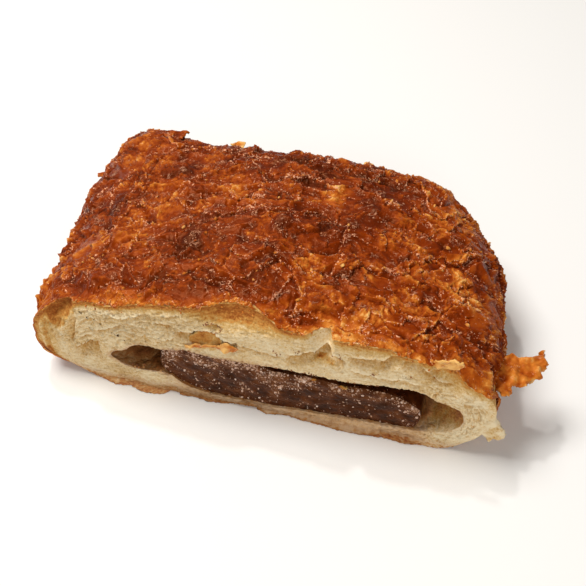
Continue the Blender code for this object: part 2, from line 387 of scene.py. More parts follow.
def crust_mesh():
    """The skin without its front and its sole, moved to its ragged edge, wrinkled, and with its edge turned in."""
    mesh = sized_box(CRUST_FACES, ((0, -1, 0), (0, 0, -1)))
    top_layer = mesh.faces.layers.int.new("top")
    sheet = mesh.loops.layers.uv.new("OFBake")
    mesh.normal_update()
    for face in mesh.faces:
        face[top_layer] = face.normal.z > 0.9
        for loop in face.loops:
            across, along, up = loop.vert.co
            if face.normal.z > 0.9:
                loop[sheet].uv = (0.5 + 0.495 * across, 0.5 + 0.495 * along)
            elif face.normal.y > 0.9:
                loop[sheet].uv = (0.5 + 0.495 * across, 0.16 + 0.15 * up)
            else:
                loop[sheet].uv = (0.5 + 0.35 * along, (0.50 if face.normal.x > 0.9 else 0.83) + 0.15 * up)
    layers = new_layers(mesh, "brown", "rough", "rim", "upright")
    for vert in mesh.verts:
        across, along, up = vert.co
        back = (along + 1) / 2
        spot = loaf(across, back, up)
        ahead = 0.4 + (setback(spot.x) - 0.4) * smooth(0.2, 0.9, up) + 4.2 * near_wing(spot)
        spot.y += ahead * (1 - back) ** 6
        vert.co = spot
    mesh.normal_update()
    moved = {}
    for vert in mesh.verts:
        height, *looks = crust_relief(vert.co)
        behind = vert.co.y - CUT_Y - setback(vert.co.x)
        at_edge = smooth(4 + 7 * near_wing(vert.co), 0, behind)
        moved[vert] = vert.co + vert.normal * (height * (1 - 0.75 * at_edge) + 0.12 * at_edge)
        patchy = ripple(vert.co.x / 2.5, vert.co.y / 1.5, 2)
        looks[0] += 0.35 * (0.46 - looks[0]) * smooth(8, 2, behind)
        looks[0] -= (0.17 + 0.18 * patchy) * smooth(3.6, 0, behind) * smooth(6, 14, vert.co.z)
        looks[1] = max(looks[1], 0.9 * smooth(3.5, 0.5, behind + 2 * patchy), 0.8 * smooth(0.7, 0.3, vert.normal.z))
        looks[0] -= 0.12 * smooth(20, 6, vert.co.z)
        looks.append(smooth(0.88, 0.40, vert.normal.z))
        paint([vert], layers, looks)
    for vert, spot in moved.items():
        vert.co = spot
        vert.co.z = max(vert.co.z, LOWEST)
    lip = [edge for edge in mesh.edges if edge.is_boundary and all(v.co.y < CUT_Y + 9 for v in edge.verts)]
    lip = [edge for edge in lip if max(v.co.z for v in edge.verts) > 1]
    turned = bmesh.ops.extrude_edge_only(mesh, edges=lip)["geom"]
    for vert in (part for part in turned if isinstance(part, bmesh.types.BMVert)):
        vert.co += to_core(vert.co) * LIP_WIDTH + Vector((0, 0.2 + 0.2 * noise.noise(vert.co / 0.7), 0))
        paint([vert], layers, (0.18 + 0.2 * noise.noise(vert.co / 1.5), 1, 0.3, 0))
    finish_mesh(mesh)
    return mesh


whole_crust = crust_mesh()
egg_washed_crust = crust_material()
for name, is_top in (("crust_top", 1), ("crust_sides", 0)):
    part = whole_crust.copy()
    top_layer = part.faces.layers.int["top"]
    bmesh.ops.delete(part, geom=[face for face in part.faces if face[top_layer] != is_top], context="FACES")
    new_object(name, part, egg_washed_crust, "baked_crust", "pastry")
whole_crust.free()

# ---- Cut dough -------------------------------------------------------------------------------------------------
# The pale inside of the pastry where the knife went through: thin dough layers that puffed apart, with torn steps,
# slits and a burst bubble. It is a ring of faces from the pocket's rim to the skin, and on under the crust.

POCKET_LEFT, POCKET_RIGHT = -42.2, 49.7
ROOF = (  # x and height of the pocket's upper rim
    (-42.2, 10), (-41.8, 11), (-40.5, 12.2), (-38.8, 12.7), (-37.4, 13.6), (-35.9, 15.4), (-33.8, 16.5),
    (-30, 17), (-27, 16.6), (-24, 17.6), (-20.5, 18.3), (-16.4, 18), (-13.2, 17.7), (-7.3, 17.8),
    (-3.6, 17.9), (-1, 18.3), (1.4, 18.5), (10, 18.7), (18.2, 18.4), (21.6, 18.6), (26.3, 19.2), (30.1, 20.1),
    (34.2, 20.4), (37.8, 20.4), (40.1, 19.6), (42.2, 18.2), (45.6, 17.3), (48.3, 16.2), (49.3, 14.5), (49.7, 12.2),
)
FLOOR = (  # x and height of the pocket's lower rim
    (-42.2, 10), (-41.6, 9.4), (-39.2, 8.3), (-36.2, 7.4), (-32.9, 7.3), (-30, 7.8), (-27.4, 8), (-25.4, 7.2),
    (-23.4, 5.3), (-20.8, 3.8), (-15.3, 2.7), (-8.2, 2.6), (-3.5, 2.6), (1.1, 2.5), (7.3, 3.3), (16.3, 4),
    (22.3, 4.3), (31.3, 5), (36.3, 5.1), (40, 5.5), (44, 6.5), (47.1, 8.1), (49.2, 10.2), (49.7, 12.2),
)
FRONT_LIP = (  # x, and how far the lower edge stands out in front of the cut, with its notches
    (-64, -0.6), (-56, -0.4), (-50.6, 0), (-47, 0.2), (-43.9, 0.9), (-41.4, 1.6), (-37.3, 0.9), (-35.4, 1.7),
    (-32.5, 2.2), (-28.2, 1.6), (-26.9, 0.3), (-25.7, -1.5), (-24.3, -0.5), (-23.5, 0.6), (-19.6, 0.3), (-15.6, 0.9),
    (-10.9, 0.3), (-8.6, -0.6), (-7.3, -1.7), (-3.1, -1.7), (-2.6, 0), (0.4, 0.9), (5.1, 0), (10.3, 0.6),
    (16.5, 0.9), (19.6, 1.3), (25.8, 1.1), (31.7, 0.6), (36.5, 1.1), (40.6, 0.4), (44.7, 0.4), (48, -0.4),
    (53, -0.8), (60, -0.8),
)
TOAST_LINE = (  # x, and how high the browned sole reaches in the cut
    (-64, 2), (-50, 2), (-42, 0.6), (-38, 1.2), (-32, 1), (-28.7, 1.6), (-26, 2.4), (-22, 1),
    (-15, 0.5), (-8, 1), (-5, 2.4), (0, 0.5), (10, 0.6), (19.7, 0.5), (25.7, 0.6), (31.5, 1.7),
    (36, 1.8), (42, 0.6), (48, 1), (54, 1.5), (60, 2),
)
TEARS = (  # the torn upper edge as (x, z) points, how far below it the tear ends, and how deep it is
    ((
        (5.2, 25), (7.3, 25.5), (9.5, 26.7), (11.2, 28.2), (12.3, 27.9), (14.2, 29), (16.1, 29.1), (18.1, 28),
        (19.8, 26.5),
    ), 5.2, 3),
    (((11.3, 24.2), (13.2, 26), (15.1, 26.4), (16.5, 25.4), (18.7, 24.5)), 2.2, -0.9),
    ((
        (20.6, 28.6), (24, 29.2), (26.7, 29.7), (28.8, 29.6), (30.8, 31.2), (32.6, 31.6), (34.6, 30.9), (37.3, 30.3),
        (39.3, 29), (42, 28.6),
    ), 4.4, 2.6),
    (((20.9, 24.4), (24.3, 23.8), (27.1, 23.4), (30.7, 23.6), (34.4, 24.6), (36.4, 23.7), (38.5, 23)), 2, 1.3),
    (((-6.6, 24.9), (-3.6, 24.5), (-0.8, 24.4), (1.5, 24.2), (2.7, 23.7), (4.1, 24.1)), 1.3, 1.4),
    (((-19.2, 25.4), (-16.8, 27.7), (-14.1, 28.3), (-12.7, 28), (-11.3, 26.9), (-10, 25.8), (-7, 25)), 5.4, 4.2),
    (((-23.6, 24), (-21.5, 25.7), (-19.1, 26.6), (-17.8, 26.4)), 4, 2.6),
    (((-28.9, 26), (-27.3, 27.3), (-25.7, 27.7), (-24.4, 26.8)), 1.6, 1.3),
    (((-47.1, 19.9), (-44.9, 19.6), (-42.2, 20.8), (-38.8, 22.7), (-36.7, 24.2)), 1.6, 1),
    (((-49.9, 15), (-47.9, 16.9), (-45.8, 18), (-45.3, 17.2), (-44.3, 15.7)), 1.2, 1),
    (((-46.9, 23.3), (-44.7, 24.5), (-43.9, 23.6), (-42.5, 23)), 2.2, 1.5),
    (((-39.4, 20.2), (-37.1, 21.9), (-34.7, 21.7), (-33.2, 21.2)), 0.9, 1),
    (((-33.4, 20.7), (-29.8, 21.8), (-28, 21.4), (-25.6, 21.2), (-23, 22.7)), 1, 1),
    (((-27, 29.9), (-24, 30.3), (-20.9, 31.4)), 1, 0.9),
    (((-41.1, 27), (-37.7, 26.1), (-33.2, 27.7), (-29.9, 29.6)), 1.5, 0.9),
    (((-15, 29.9), (-13.2, 30), (-11.4, 29.8), (-10.2, 28.6)), 0.9, 1.6),
    (((-52.5, 10.8), (-50.1, 12.1), (-47.9, 13.7), (-46, 15.2), (-44.6, 15.2)), 6.6, 2.8),
    (((39.5, 26.5), (42.5, 25.5), (46, 24.6)), 1.2, 0.9),
    (((40.5, 9.5), (43.5, 4.4), (46.5, 4.2)), 0.9, 0.8),
    (((-36.5, 24.6), (-34, 24.9), (-31.5, 24.4), (-29.5, 24.6)), 0.9, 0.9),
)
FOLDS = (  # upright folds at the left end as (z, x) points, how deep their left side lies and how far that reaches
    (((11.7, -51.5), (13, -51.9), (17.9, -50.7), (20.4, -49.8), (23.2, -49.2), (27, -50)), 1.7, 3.6),
    (((7.4, -42.8), (9.2, -44.1), (12.8, -44.8), (15.6, -44.6)), 1.9, 3.4),
)
BUBBLE = (  # the burst bubble at the left end, as (x, z) points
    (-58.8, 23.2), (-55.9, 27), (-52.7, 30.4), (-50.7, 31.3), (-50.9, 28.8), (-50.2, 26.4), (-51.5, 23),
    (-53.7, 18.4), (-55.9, 16.9), (-57.4, 18.7), (-58.6, 21.9),
)
SCORCHED_CORNER = ((-62.5, 9.6), (-59.1, 9.4), (-58.8, 7.1), (-57.4, 4.4), (-55, 3.4), (-58, 1), (-62.5, 4))
CUT_AROUND = 1080
CUT_ROWS = 78
HIDDEN_ROWS = 10
WAY_ROUND = 310  # about how long the ring is
SHEET_SIZE = (138, 43)  # what the flat sheet of the cut holds, across and up
SEAM_GAP = 0.004  # corners nearer than this are one, where the ring closes
HIDDEN_REACH = 0.09  # how far back the hidden rows go, as a share of the depth
HIDDEN_REACH_RIGHT = 0.08  # how much further they go behind the flake at the lower right end


def ring_corner(share):
    """Walks once round the rim of the square from -1 to 1, from its upper left corner to the right."""
    sides = (((-1, 1), (1, 1), 4), ((1, 1), (1, -1), 1.3), ((1, -1), (-1, -1), 3.4), ((-1, -1), (-1, 1), 1.3))
    left = share * sum(length for *_, length in sides)
    for start, end, length in sides:
        if left <= length:
            part = left / length
            return start[0] + (end[0] - start[0]) * part, start[1] + (end[1] - start[1]) * part
        left -= length
    return -1, 1


def pocket_rim(across, up):
    """The pocket's outline in the cut, in mm, for a point on the rim of the square."""
    share = across / (across**4 + up**4) ** 0.25
    x = (POCKET_LEFT + POCKET_RIGHT) / 2 + (POCKET_RIGHT - POCKET_LEFT) / 2 * share
    z = line_at(ROOF if up > 0 else FLOOR, x)
    jagged = 0.34 * ripple(x / 1.3, up, 3) + 0.26 * ripple(x / 0.55, up, 8)
    return Vector((x, 0, z + jagged * (1 - share**8)))


def rim_depth(up):
    """How far the pocket's rim lies behind the cut: its upper part is rounded, its lower part is flush."""
    return 0.5 * smooth(-0.9, -0.3, up)


def inside(outline, x, z):
    """How far inside a closed outline of (x, z) points a point lies, in mm; negative outside."""
    nearest, crossings = 1e9, 0
    for (x0, z0), (x1, z1) in zip(outline, outline[1:] + outline[:1]):
        along = ((x - x0) * (x1 - x0) + (z - z0) * (z1 - z0)) / ((x1 - x0) ** 2 + (z1 - z0) ** 2)
        along = min(1, max(0, along))
        nearest = min(nearest, math.hypot(x0 + along * (x1 - x0) - x, z0 + along * (z1 - z0) - z))
        if (z0 > z) != (z1 > z) and x < x0 + (z - z0) / (z1 - z0) * (x1 - x0):
            crossings += 1
    return nearest if crossings % 2 else -nearest


def bubble_relief(x, z):
    """How deep the burst bubble and its corner are in the cut, in mm, and how toasted; its floor is partly painted
    light.
    """
    if not (-63 < x < -49 and 0 < z < 33):  # away from the bubble
        return 0, 0
    ragged = 0.5 * ripple(x / 1.6, z / 1.6, 7) + 0.25 * ripple(x / 0.6, z / 0.6, 2)
    within = inside(BUBBLE, x, z) + ragged
    open_up = smooth(0, 3.2, within) ** 0.6
    floor_share = smooth(-3.5, 2.5, (x + 54) - 0.5 * (z - 23))
    # The floor is paler: partly its thin golden wall, partly painted light where the lamp reaches in.
    toast_and_shade = smooth(-0.1, 0.5, within) * (0.43 - 0.17 * floor_share + 0.16 * ragged)
    toast_and_shade += 0.28 * smooth(-0.5, 0.6, inside(SCORCHED_CORNER, x, z) + ragged)
    return 1.7 * open_up - 0.3 * math.exp(-((within + 0.35) ** 2) / 0.12), toast_and_shade


def cut_relief(x, z, layer, round_the_ring):
    """How far the cut dough lies behind the knife's plane, in mm, and how toasted it is, darker where deeper as painted
    shade.
    """
    wander = ripple(x / 9, z / 5, 2)
    deep = 0.30 * wander
    toast_and_shade = 0.09 + 0.08 * wander
    for edge, fill, depth in TEARS:
        if not edge[0][0] < x < edge[-1][0]:
            continue
        ends = min(x - edge[0][0], edge[-1][0] - x)
        scallop = 0.35 * ripple(x / 1.6, depth, 0) + 0.22 * ripple(x / 0.6, depth, 3)
        below = line_at(edge, x) + scallop - z
        faded = smooth(-0.2, 1.6, ends)
        opened = smooth(-0.05, 0.14, below) * max(0, 1 - max(0, below) / fill) ** 1.3
        lip = math.exp(-((below + 0.28) ** 2) / 0.09)
        # A darker band just under the edges of the deeper tears (the burnt share): painted shade.
        under_edge_spots = smooth(0, 0.35, ripple(x / 0.9, depth * 3, 6)) * math.exp(-((below - 0.1) ** 2) / 0.05)
        deep += faded * (1.6 * depth * opened - 0.42 * lip)
        burnt = (0.30 + 0.40 * smooth(2, 2.6, depth)) * under_edge_spots
        # The opened tear is toasted darker as painted shade, and its lip paler as a painted highlight.
        toast_and_shade += faded * (0.17 * opened**0.7 * min(1.4, abs(depth)) - 0.12 * lip + burnt)
    for ridge, depth, reach in FOLDS:
        if ridge[0][0] < z < ridge[-1][0]:
            beside = line_at(ridge, z) + 0.4 * ripple(z / 1.8, depth, 0) - x
            faded = smooth(0, 1.5, z - ridge[0][0]) * smooth(0, 1, ridge[-1][0] - z)
            opened = smooth(-0.1, 0.3, beside) * max(0, 1 - max(0, beside) / reach)
            deep += faded * (depth * opened - 0.35 * math.exp(-((beside + 0.4) ** 2) / 0.2))
            # Painted shade: the fold's sunken side is toasted darker.
            toast_and_shade += faded * 0.14 * opened
    airy = 0.46 + smooth(-8, -22, x) * smooth(11, 15, z) + 0.5 * smooth(36, 45, x)
    airy = min(1, airy) * (0.75 + 0.5 * ripple(x / 7, z / 5, 8))
    long_slit = smooth(0.12, 0.5, ripple(round_the_ring / 3.4, layer / 0.75, 1))
    short_slit = smooth(0.12, 0.5, ripple(round_the_ring / 1.3, layer / 0.36, 5))
    grain = ripple(x / 0.55, z / 0.45, 3)
    pit = smooth(0.22, 0.55, ripple(x / 0.9, z / 0.6, 12)) * (0.4 + 0.6 * airy)
    shred = ripple(x / 1.5, z / 0.42, 15) * smooth(-0.1, 0.3, ripple(x / 4, z / 2.5, 18))
    deep += airy * (0.85 * long_slit + 0.55 * short_slit) + 0.12 * grain + 0.35 * pit + 0.30 * shred
    # Painted shade: the slits, pits and shreds are toasted darker where they lie deeper.
    toast_and_shade += airy * (0.10 * long_slit + 0.10 * short_slit) + 0.10 * pit + 0.07 * shred
    return deep, toast_and_shade


def ring_mesh(around, rows, corner_of):
    """A ring of faces in metres. corner_of turns its shares round and across into a place, looks and a flat place."""
    mesh = bmesh.new()
    bmesh.ops.create_grid(mesh, x_segments=around, y_segments=rows, size=1)
    sheet = mesh.loops.layers.uv.new("OFBake")
    layers = new_layers(mesh, "toast_and_shade", "stain_and_shade")
    flat = {}
    for vert in mesh.verts:
        vert.co, looks, flat[vert] = corner_of((vert.co.x + 1) / 2, (vert.co.y + 1) / 2)
        paint([vert], layers, looks)
    for face in mesh.faces:
        for loop in face.loops:
            loop[sheet].uv = flat[loop.vert]
    bmesh.ops.remove_doubles(mesh, verts=[v for v in mesh.verts if v.is_boundary], dist=SEAM_GAP)
    finish_mesh(mesh)
    if sum(face.normal.y * face.calc_area() for face in mesh.faces) > 0:
        bmesh.ops.reverse_faces(mesh, faces=mesh.faces)
    return mesh


def cut_stain(x, z, near_pocket, bottom, mottled, below):
    """How far syrup and cinnamon from the filling soaked into the cut dough; below is the share by the sole."""
    wet = 0.5 + ripple(x / 1.1, z / 0.8, 6)
    stain_and_shade = (0.16 + 0.3 * wet) * smooth(1.5, 0.2, near_pocket) * (1 - bottom) * smooth(0, -10, x)
    under_slab = bottom * smooth(-30, -20, x) * smooth(44, 38, x)
    on_floor = bottom * smooth(-42.5, -39, x) * smooth(-25, -28, x)
    stain_and_shade += on_floor * (0.36 + 0.50 * wet) * smooth(3, 0.4, near_pocket + 0.8 * mottled)
    smeared = smooth(-29, -25, x) * smooth(6, -2, x) * (1 - bottom)
    stain_and_shade += smeared * (0.14 + 0.32 * wet) * smooth(2.4, 0.3, near_pocket)
    beside_slab = 0.26 + 0.10 * wet + 0.25 * smooth(1.2, 0.1, near_pocket) * wet
    stain_and_shade += 0.12 * smooth(0.7, 0, near_pocket) + 0.22 * below + under_slab * beside_slab
    return stain_and_shade


def cut_corner(share, out):
    """A corner of the cut dough: the rows go from the pocket's rim to the skin, and the last ones under the crust."""
    row = out * (CUT_ROWS + HIDDEN_ROWS)
    across, up = ring_corner(share)
    inner = pocket_rim(across, up)
    outer = loaf(across, 0, up)
    outer = Vector((outer.x, 0, outer.z))
    face = min(1, row / CUT_ROWS)
    spot = inner.lerp(outer, face)
    x, z = spot.x, spot.z
    thick = (outer - inner).length
    near_pocket = face * thick
    near_skin = (1 - face) * thick
    deep, toast_and_shade = cut_relief(x, z, near_pocket, share * WAY_ROUND)
    top = smooth(0.2, 0.9, up)
    brow = (0.3 + line_at(SETBACK, x)) * top + 0.5 * (1 - top)
    rounding = smooth(3.2 + 1.4 * brow, 0, near_skin)
    bottom = smooth(-0.3, -0.9, up)
    deep = deep * smooth(0, 0.05, face) * (1 - rounding) + brow * rounding * (1 - bottom)
    deep -= line_at(FRONT_LIP, x) * bottom * smooth(2.6, 0.4, near_skin)
    hollow, bubble_toast = bubble_relief(x, z)
    deep += hollow
    toast_and_shade += bubble_toast
    deep += rim_depth(up) * smooth(0.7, 0, near_pocket)
    mottled = ripple(x / 3, near_skin / 1.5, 4) + 0.6 * ripple(x / 0.9, near_skin / 0.7, 9)
    on_brow = math.exp(-(((x + 8) / 11) ** 2))
    pale_peak = 1 - 0.85 * math.exp(-(((x - 13.5) / 3.6) ** 2))
    toast_and_shade += (0.16 + 0.04 * brow) * rounding * top * (1 + 0.5 * mottled) * pale_peak
    browned = 0.34 - 0.24 * on_brow - 0.14 * smooth(10, 24, x)
    toast_and_shade += browned * smooth(2.2, 0, near_skin + 0.7 * mottled) * top * pale_peak
    toast_and_shade += (0.20 + 0.10 * mottled) * top * smooth(8, 2, near_skin) * on_brow - 0.05 * smooth(42, 50, x)
    speckled = 0.5 + 1.1 * ripple(x / 0.7, near_skin / 0.45, 2)
    sole_edge = line_at(TOAST_LINE, x) - z + 0.9 * ripple(x / 1.1, near_skin, 7)
    sole_share = bottom * smooth(-0.5, 0.5, sole_edge)
    toast_and_shade += sole_share * (0.12 + 0.42 * speckled)
    stain_below = bottom * smooth(-0.5, 1.5, sole_edge + 2)
    deep += sole_share * 0.35 * (speckled - 0.5)
    left = smooth(0, -0.9, across) * (1 - top)
    toast_and_shade += (0.24 + 0.12 * mottled) * smooth(-55.5, -60, x)
    deep += 0.5 * mottled * smooth(-51, -56, x) * smooth(0, 2, near_skin)
    toast_and_shade += 0.18 * smooth(1.6, 0, near_skin + 0.8 * noise.noise(Vector((x, z, 0)) / 2)) * left
    stain_and_shade = cut_stain(x, z, near_pocket, bottom, mottled, stain_below)
    toast_and_shade = min(toast_and_shade, 0.60 + 0.08 * mottled) if bottom < 0.3 else toast_and_shade
    where = spot
    if row > CUT_ROWS:
        hidden = (row - CUT_ROWS) / HIDDEN_ROWS
        low_right = smooth(47, 52, outer.x) * smooth(24.5, 20, outer.z)
        spot = loaf(across, (HIDDEN_REACH + HIDDEN_REACH_RIGHT * low_right) * hidden, up)
        late = 0.4 * low_right
        spot += to_core(spot) * (0.1 + 1.5 * smooth(0.10 + late, 0.45 + late, hidden))
        deep = max(deep, brow * (1 - bottom)) + spot.y - CUT_Y
        where = outer + (outer - Vector((MIDDLE_X, 0, 15))) * 0.05 * hidden
        toast_and_shade = 0.18 + (0.18 - 0.08 * smooth(10, 24, spot.x)) * pale_peak + 0.12 * mottled
    place = Vector((spot.x, CUT_Y + deep, max(0.12, spot.z)))
    flat = (0.5 + (where.x - MIDDLE_X) / SHEET_SIZE[0], 0.05 + (where.z + 1) / SHEET_SIZE[1])
    return place, (toast_and_shade, stain_and_shade), flat


def dough_material():
    """Baked puff pastry crumb: creamy matt dough, translucent where thin, golden where the oven reached it, and painted
    shade.
    """
    material, tree, shader, place = new_material("layered_dough")
    looks = [add(tree, "Attribute", attribute_name=name) for name in ("toast_and_shade", "stain_and_shade")]
    toast_and_shade, stain_and_shade = (look.outputs["Fac"] for look in looks)
    cloud = add(tree, "TexNoise", Vector=place, Scale=1 / (3 * MM), Detail=4, Roughness=0.6)
    grain = add(tree, "TexNoise", Vector=place, Scale=1 / (0.5 * MM), Detail=3, Roughness=0.6)
    clouded = add(tree, "Math", cloud, 0.26, -0.13, operation="MULTIPLY_ADD")
    grained = add(tree, "Math", grain, 0.5, -0.25, operation="MULTIPLY_ADD")
    toned = add(tree, "Math", clouded, toast_and_shade, operation="ADD")
    level = add(tree, "VectorMath", place, (1, 1, 3.4), operation="MULTIPLY")
    strand = add(tree, "TexNoise", Vector=level, Scale=1 / (1.7 * MM), Detail=3, Roughness=0.6)
    stranded = add(tree, "Math", strand, 0.26, -0.13, operation="MULTIPLY_ADD")
    dot = add(tree, "TexNoise", Vector=place, Scale=1 / (0.55 * MM), Detail=1, Roughness=0.5)
    dots = add(tree, "MapRange", dot, 0.71, 0.76, 0, 0.24)
    streaked = add(tree, "Math", stranded, grained, operation="ADD")
    dotted = add(tree, "Math", streaked, dots, operation="ADD")
    tone = add(tree, "Math", toned, dotted, operation="ADD")
    stops = ((0, "#F2DFB9"), (0.16, "#E5C692"), (0.30, "#D0A662"), (0.44, "#C98A40"), (0.64, "#A0581F"), (1, "#4A220C"))
    crumb = ramp(tree, tone.outputs[0], stops)
    syrup = ramp(tree, stain_and_shade, ((0, "#D2AC94"), (0.3, "#C08763"), (0.6, "#7E3F1E"), (0.95, "#381306")))
    soaked = add(tree, "Math", stain_and_shade, 0.75, operation="POWER")
    stained = add(tree, "Mix", soaked, _6=crumb, _7=syrup, data_type="RGBA")
    tree.links.new(stained.outputs[2], shader.inputs["Base Color"])
    relief = add(tree, "Math", grain, strand, operation="ADD")
    bump = add(tree, "Bump", Strength=0.9, Distance=0.34 * MM, Height=relief)
    tree.links.new(bump.outputs[0], shader.inputs["Normal"])
    shader.inputs["Roughness"].default_value = 0.62
    shader.inputs["Specular IOR Level"].default_value = 0.12
    return material


layered_dough = dough_material()
cut_mesh = ring_mesh(CUT_AROUND, CUT_ROWS + HIDDEN_ROWS, cut_corner)
new_object("cut_dough", cut_mesh, layered_dough, "baked_crust", "pastry")

# ---- Pocket walls ----------------------------------------------------------------------------------------------
# The inside of the pocket that the filling sits in: browned by steam and syrup, with painted shade under its roof and
# deeper in. A second ring of faces goes on from the pocket's rim inwards, and closes on the filling.

POCKET_DEPTH = 24
WALL_FACES = (540, 34)


def wall_corner(share, inwards):
    """A corner of the pocket's wall: the rows go from its rim inwards and close on the filling."""
    across, up = ring_corner(share)
    rim = pocket_rim(across, up)
    closed = Vector((min(38, max(-26.5, rim.x)), 0, min(16.5, max(4.6, rim.z))))
    spot = rim.lerp(closed, smooth(0, 1, inwards) * 1.02)
    spot.y = rim_depth(up) + POCKET_DEPTH * inwards**1.4
    rumple = ripple(spot.x / 2.6, spot.y / 2.6, up) + 0.6 * noise.noise(spot / 0.8)
    is_left = smooth(0, -20, spot.x)
    spot.z += (0.45 + 0.35 * is_left) * rumple * smooth(0, 0.1, inwards)
    # Painted shade with the real syrup stain: darker under the left pocket's roof and by the slab's right end.
    dark = is_left * smooth(9.2, 11.6, spot.z) * (0.6 + 0.4 * smooth(-40, -36, spot.x))
    by_slab = (1 - is_left) * smooth(43, 39.6, spot.x - 3.5 * smooth(11.5, 16, spot.z))
    pale_floor = (1 - is_left) * smooth(12.5, 8, spot.z) * smooth(0.45, 0.05, inwards)
    # Painted shade: deeper in and higher up the wall gets darker, and the right floor near the rim stays pale.
    tanned_and_shaded = (0.13 + 0.26 * is_left * dark) * smooth(0, 0.35, inwards)
    tanned_and_shaded += (0.06 + 0.12 * smooth(9, 13, spot.z)) * (1 - is_left)
    toast_and_shade = 0.28 + 0.03 * is_left + 0.25 * dark + tanned_and_shaded - 0.20 * pale_floor + (0.24 - 0.08 * is_left) * rumple
    stain_and_shade = is_left * (0.62 + 0.12 * smooth(0.05, 0.6, inwards)) + 0.55 * dark + 0.5 * by_slab + 0.20 * rumple
    looks = (toast_and_shade, min(0.95, max(0, stain_and_shade)))
    return Vector((spot.x, CUT_Y + spot.y, spot.z)), looks, (share, inwards)


new_object("pocket_wall", ring_mesh(*WALL_FACES, wall_corner), layered_dough, "baked_crust", "pastry")

# ---- Underside -------------------------------------------------------------------------------------------------
# The sole of the pastry, which browned evenly where it lay on the tray. It is the lower side of the loaf, made as a
# patch of its own, with the crust's finish.

SOLE_FACES = (120, 70)


def sole_mesh():
    """The lower side of the loaf as one patch, slightly uneven, facing the table."""
    mesh = bmesh.new()
    bmesh.ops.create_grid(mesh, x_segments=SOLE_FACES[0], y_segments=SOLE_FACES[1], size=1)
    layers = new_layers(mesh, "brown", "rough", "rim")
    for vert in mesh.verts:
        spot = loaf(vert.co.x, (vert.co.y + 1) / 2, -1)
        patchy = noise.fractal(spot / 6, 0.9, 2.1, 4)
        paint([vert], layers, (0.42 + 0.25 * patchy, 0.7, 0))
        spot.z += 0.15 + 0.12 * noise.noise(spot / 2)
        spot.y = max(spot.y, CUT_Y + 0.5)
        vert.co = spot * MM
    bmesh.ops.recalc_face_normals(mesh, faces=mesh.faces)
    if sum(face.normal.z for face in mesh.faces) > 0:
        bmesh.ops.reverse_faces(mesh, faces=mesh.faces)
    return mesh


new_object("sole", sole_mesh(), egg_washed_crust, "baked_crust", "pastry")

# ---- Filling ---------------------------------------------------------------------------------------------------
# A slab of stiff dark brown apple and cinnamon paste, cut through with the pastry: its face is smeared, and dusted
# with grains of sugar and starch near the top. It is a box of faces with bulging sides.

SLAB_LEFT, SLAB_RIGHT = -28.2, 39.4
SLAB_TOP = (  # x and height of its upper edge in the cut
    (-28.2, 12), (-28, 15.6), (-25.4, 17.6), (-22.2, 19.4), (-19.2, 19.8), (-16.4, 19.4), (-13.4, 19.1),
    (-10.5, 19), (-5.9, 19.2), (-3, 18.8), (-1.5, 17.8), (1.4, 16.9), (5.8, 17), (10.2, 17.4), (14.5, 17.1),
    (18.8, 16.6), (22.2, 16.9), (26.4, 17.2), (30.3, 17.3), (33.2, 16.5), (35.8, 15.3), (37.6, 14), (39, 13),
    (39.4, 11),
)
SLAB_BOTTOM = (  # x and height of its lower edge in the cut
    (-28.2, 12), (-27.6, 9.6), (-25.6, 7.3), (-23.6, 5.2), (-20.8, 3.4), (-15.3, 2.2), (-8.2, 2.1), (-3.5, 2.1),
    (1.1, 1.9), (7.3, 2.8), (16.3, 3.5), (22.3, 3.8), (31.3, 4.6), (36.3, 4.9), (38.1, 6.4), (39.2, 9), (39.4, 11),
)
SLAB_FRONT = 0.55
SLAB_BACK = 58
SLAB_FACES = (230, 64, 56)


def slab_mesh():
    """The slab between its lower and upper edge, with an uneven front, how dusted each corner is, and painted shade off
    the front.
    """
    mesh = sized_box(SLAB_FACES, ())
    layers = new_layers(mesh, "dust_and_shade")
    for vert in mesh.verts:
        across, along, up = vert.co
        share = (along + 1) / 2
        x = (SLAB_LEFT + SLAB_RIGHT) / 2 + (SLAB_RIGHT - SLAB_LEFT) / 2 * across / (1 + 0.004 * abs(up) ** 3)
        low = line_at(SLAB_BOTTOM, x) - 0.5
        high = line_at(SLAB_TOP, x)
        z = (low + high) / 2 + (high - low) / 2 * up
        y = SLAB_FRONT + (SLAB_BACK - SLAB_FRONT) * share**1.6 * (0.85 + 0.15 * (1 - abs(across) ** 3))
        if along < -0.999:
            edge = min((1 - abs(up)) * (high - low) / 2, (1 - abs(across)) * 34)
            above = smooth(0.4, 2.2, z - low)
            y += smooth(1.5, 0, edge) * above
            y += 0.40 * noise.fractal(Vector((x / 4, z / 3, 1)), 0.9, 2.1, 4) * above
            y -= 0.10 * ripple(x / 1.1, z / 1.1, 4) * above
            patch = noise.fractal(Vector((x / 4, z / 2.6, 9)), 0.8, 2.2, 4)
            dust_and_shade = smooth(-0.2, 0.95, up) * (0.7 + 0.3 * smooth(30, 0, x)) + 1.1 * patch
            dust_and_shade += 0.35 * smooth(1.6, 0.3, high - z)
            dust_and_shade += 0.45 * smooth(-20, -26, x) + 0.7 * smooth(33, 37.5, x) - 0.25
            dust_and_shade -= 0.38 * smooth(4, 26, x) * smooth(0.9, 0.3, up)
        else:
            z += 0.2 * ripple(x / 1.8, y / 1.8, z / 1.8) * smooth(0, 2, y)
            # Off the front the dust is negative: it paints the top, back and ends dark, as shade in the gap under the
            # roof.
            dust_and_shade = 0.5 * smooth(-18, -26, x) - 0.8
        paint([vert], layers, [dust_and_shade])
        vert.co = Vector((x, CUT_Y + y, z)) * MM
    bmesh.ops.recalc_face_normals(mesh, faces=mesh.faces)
    return mesh


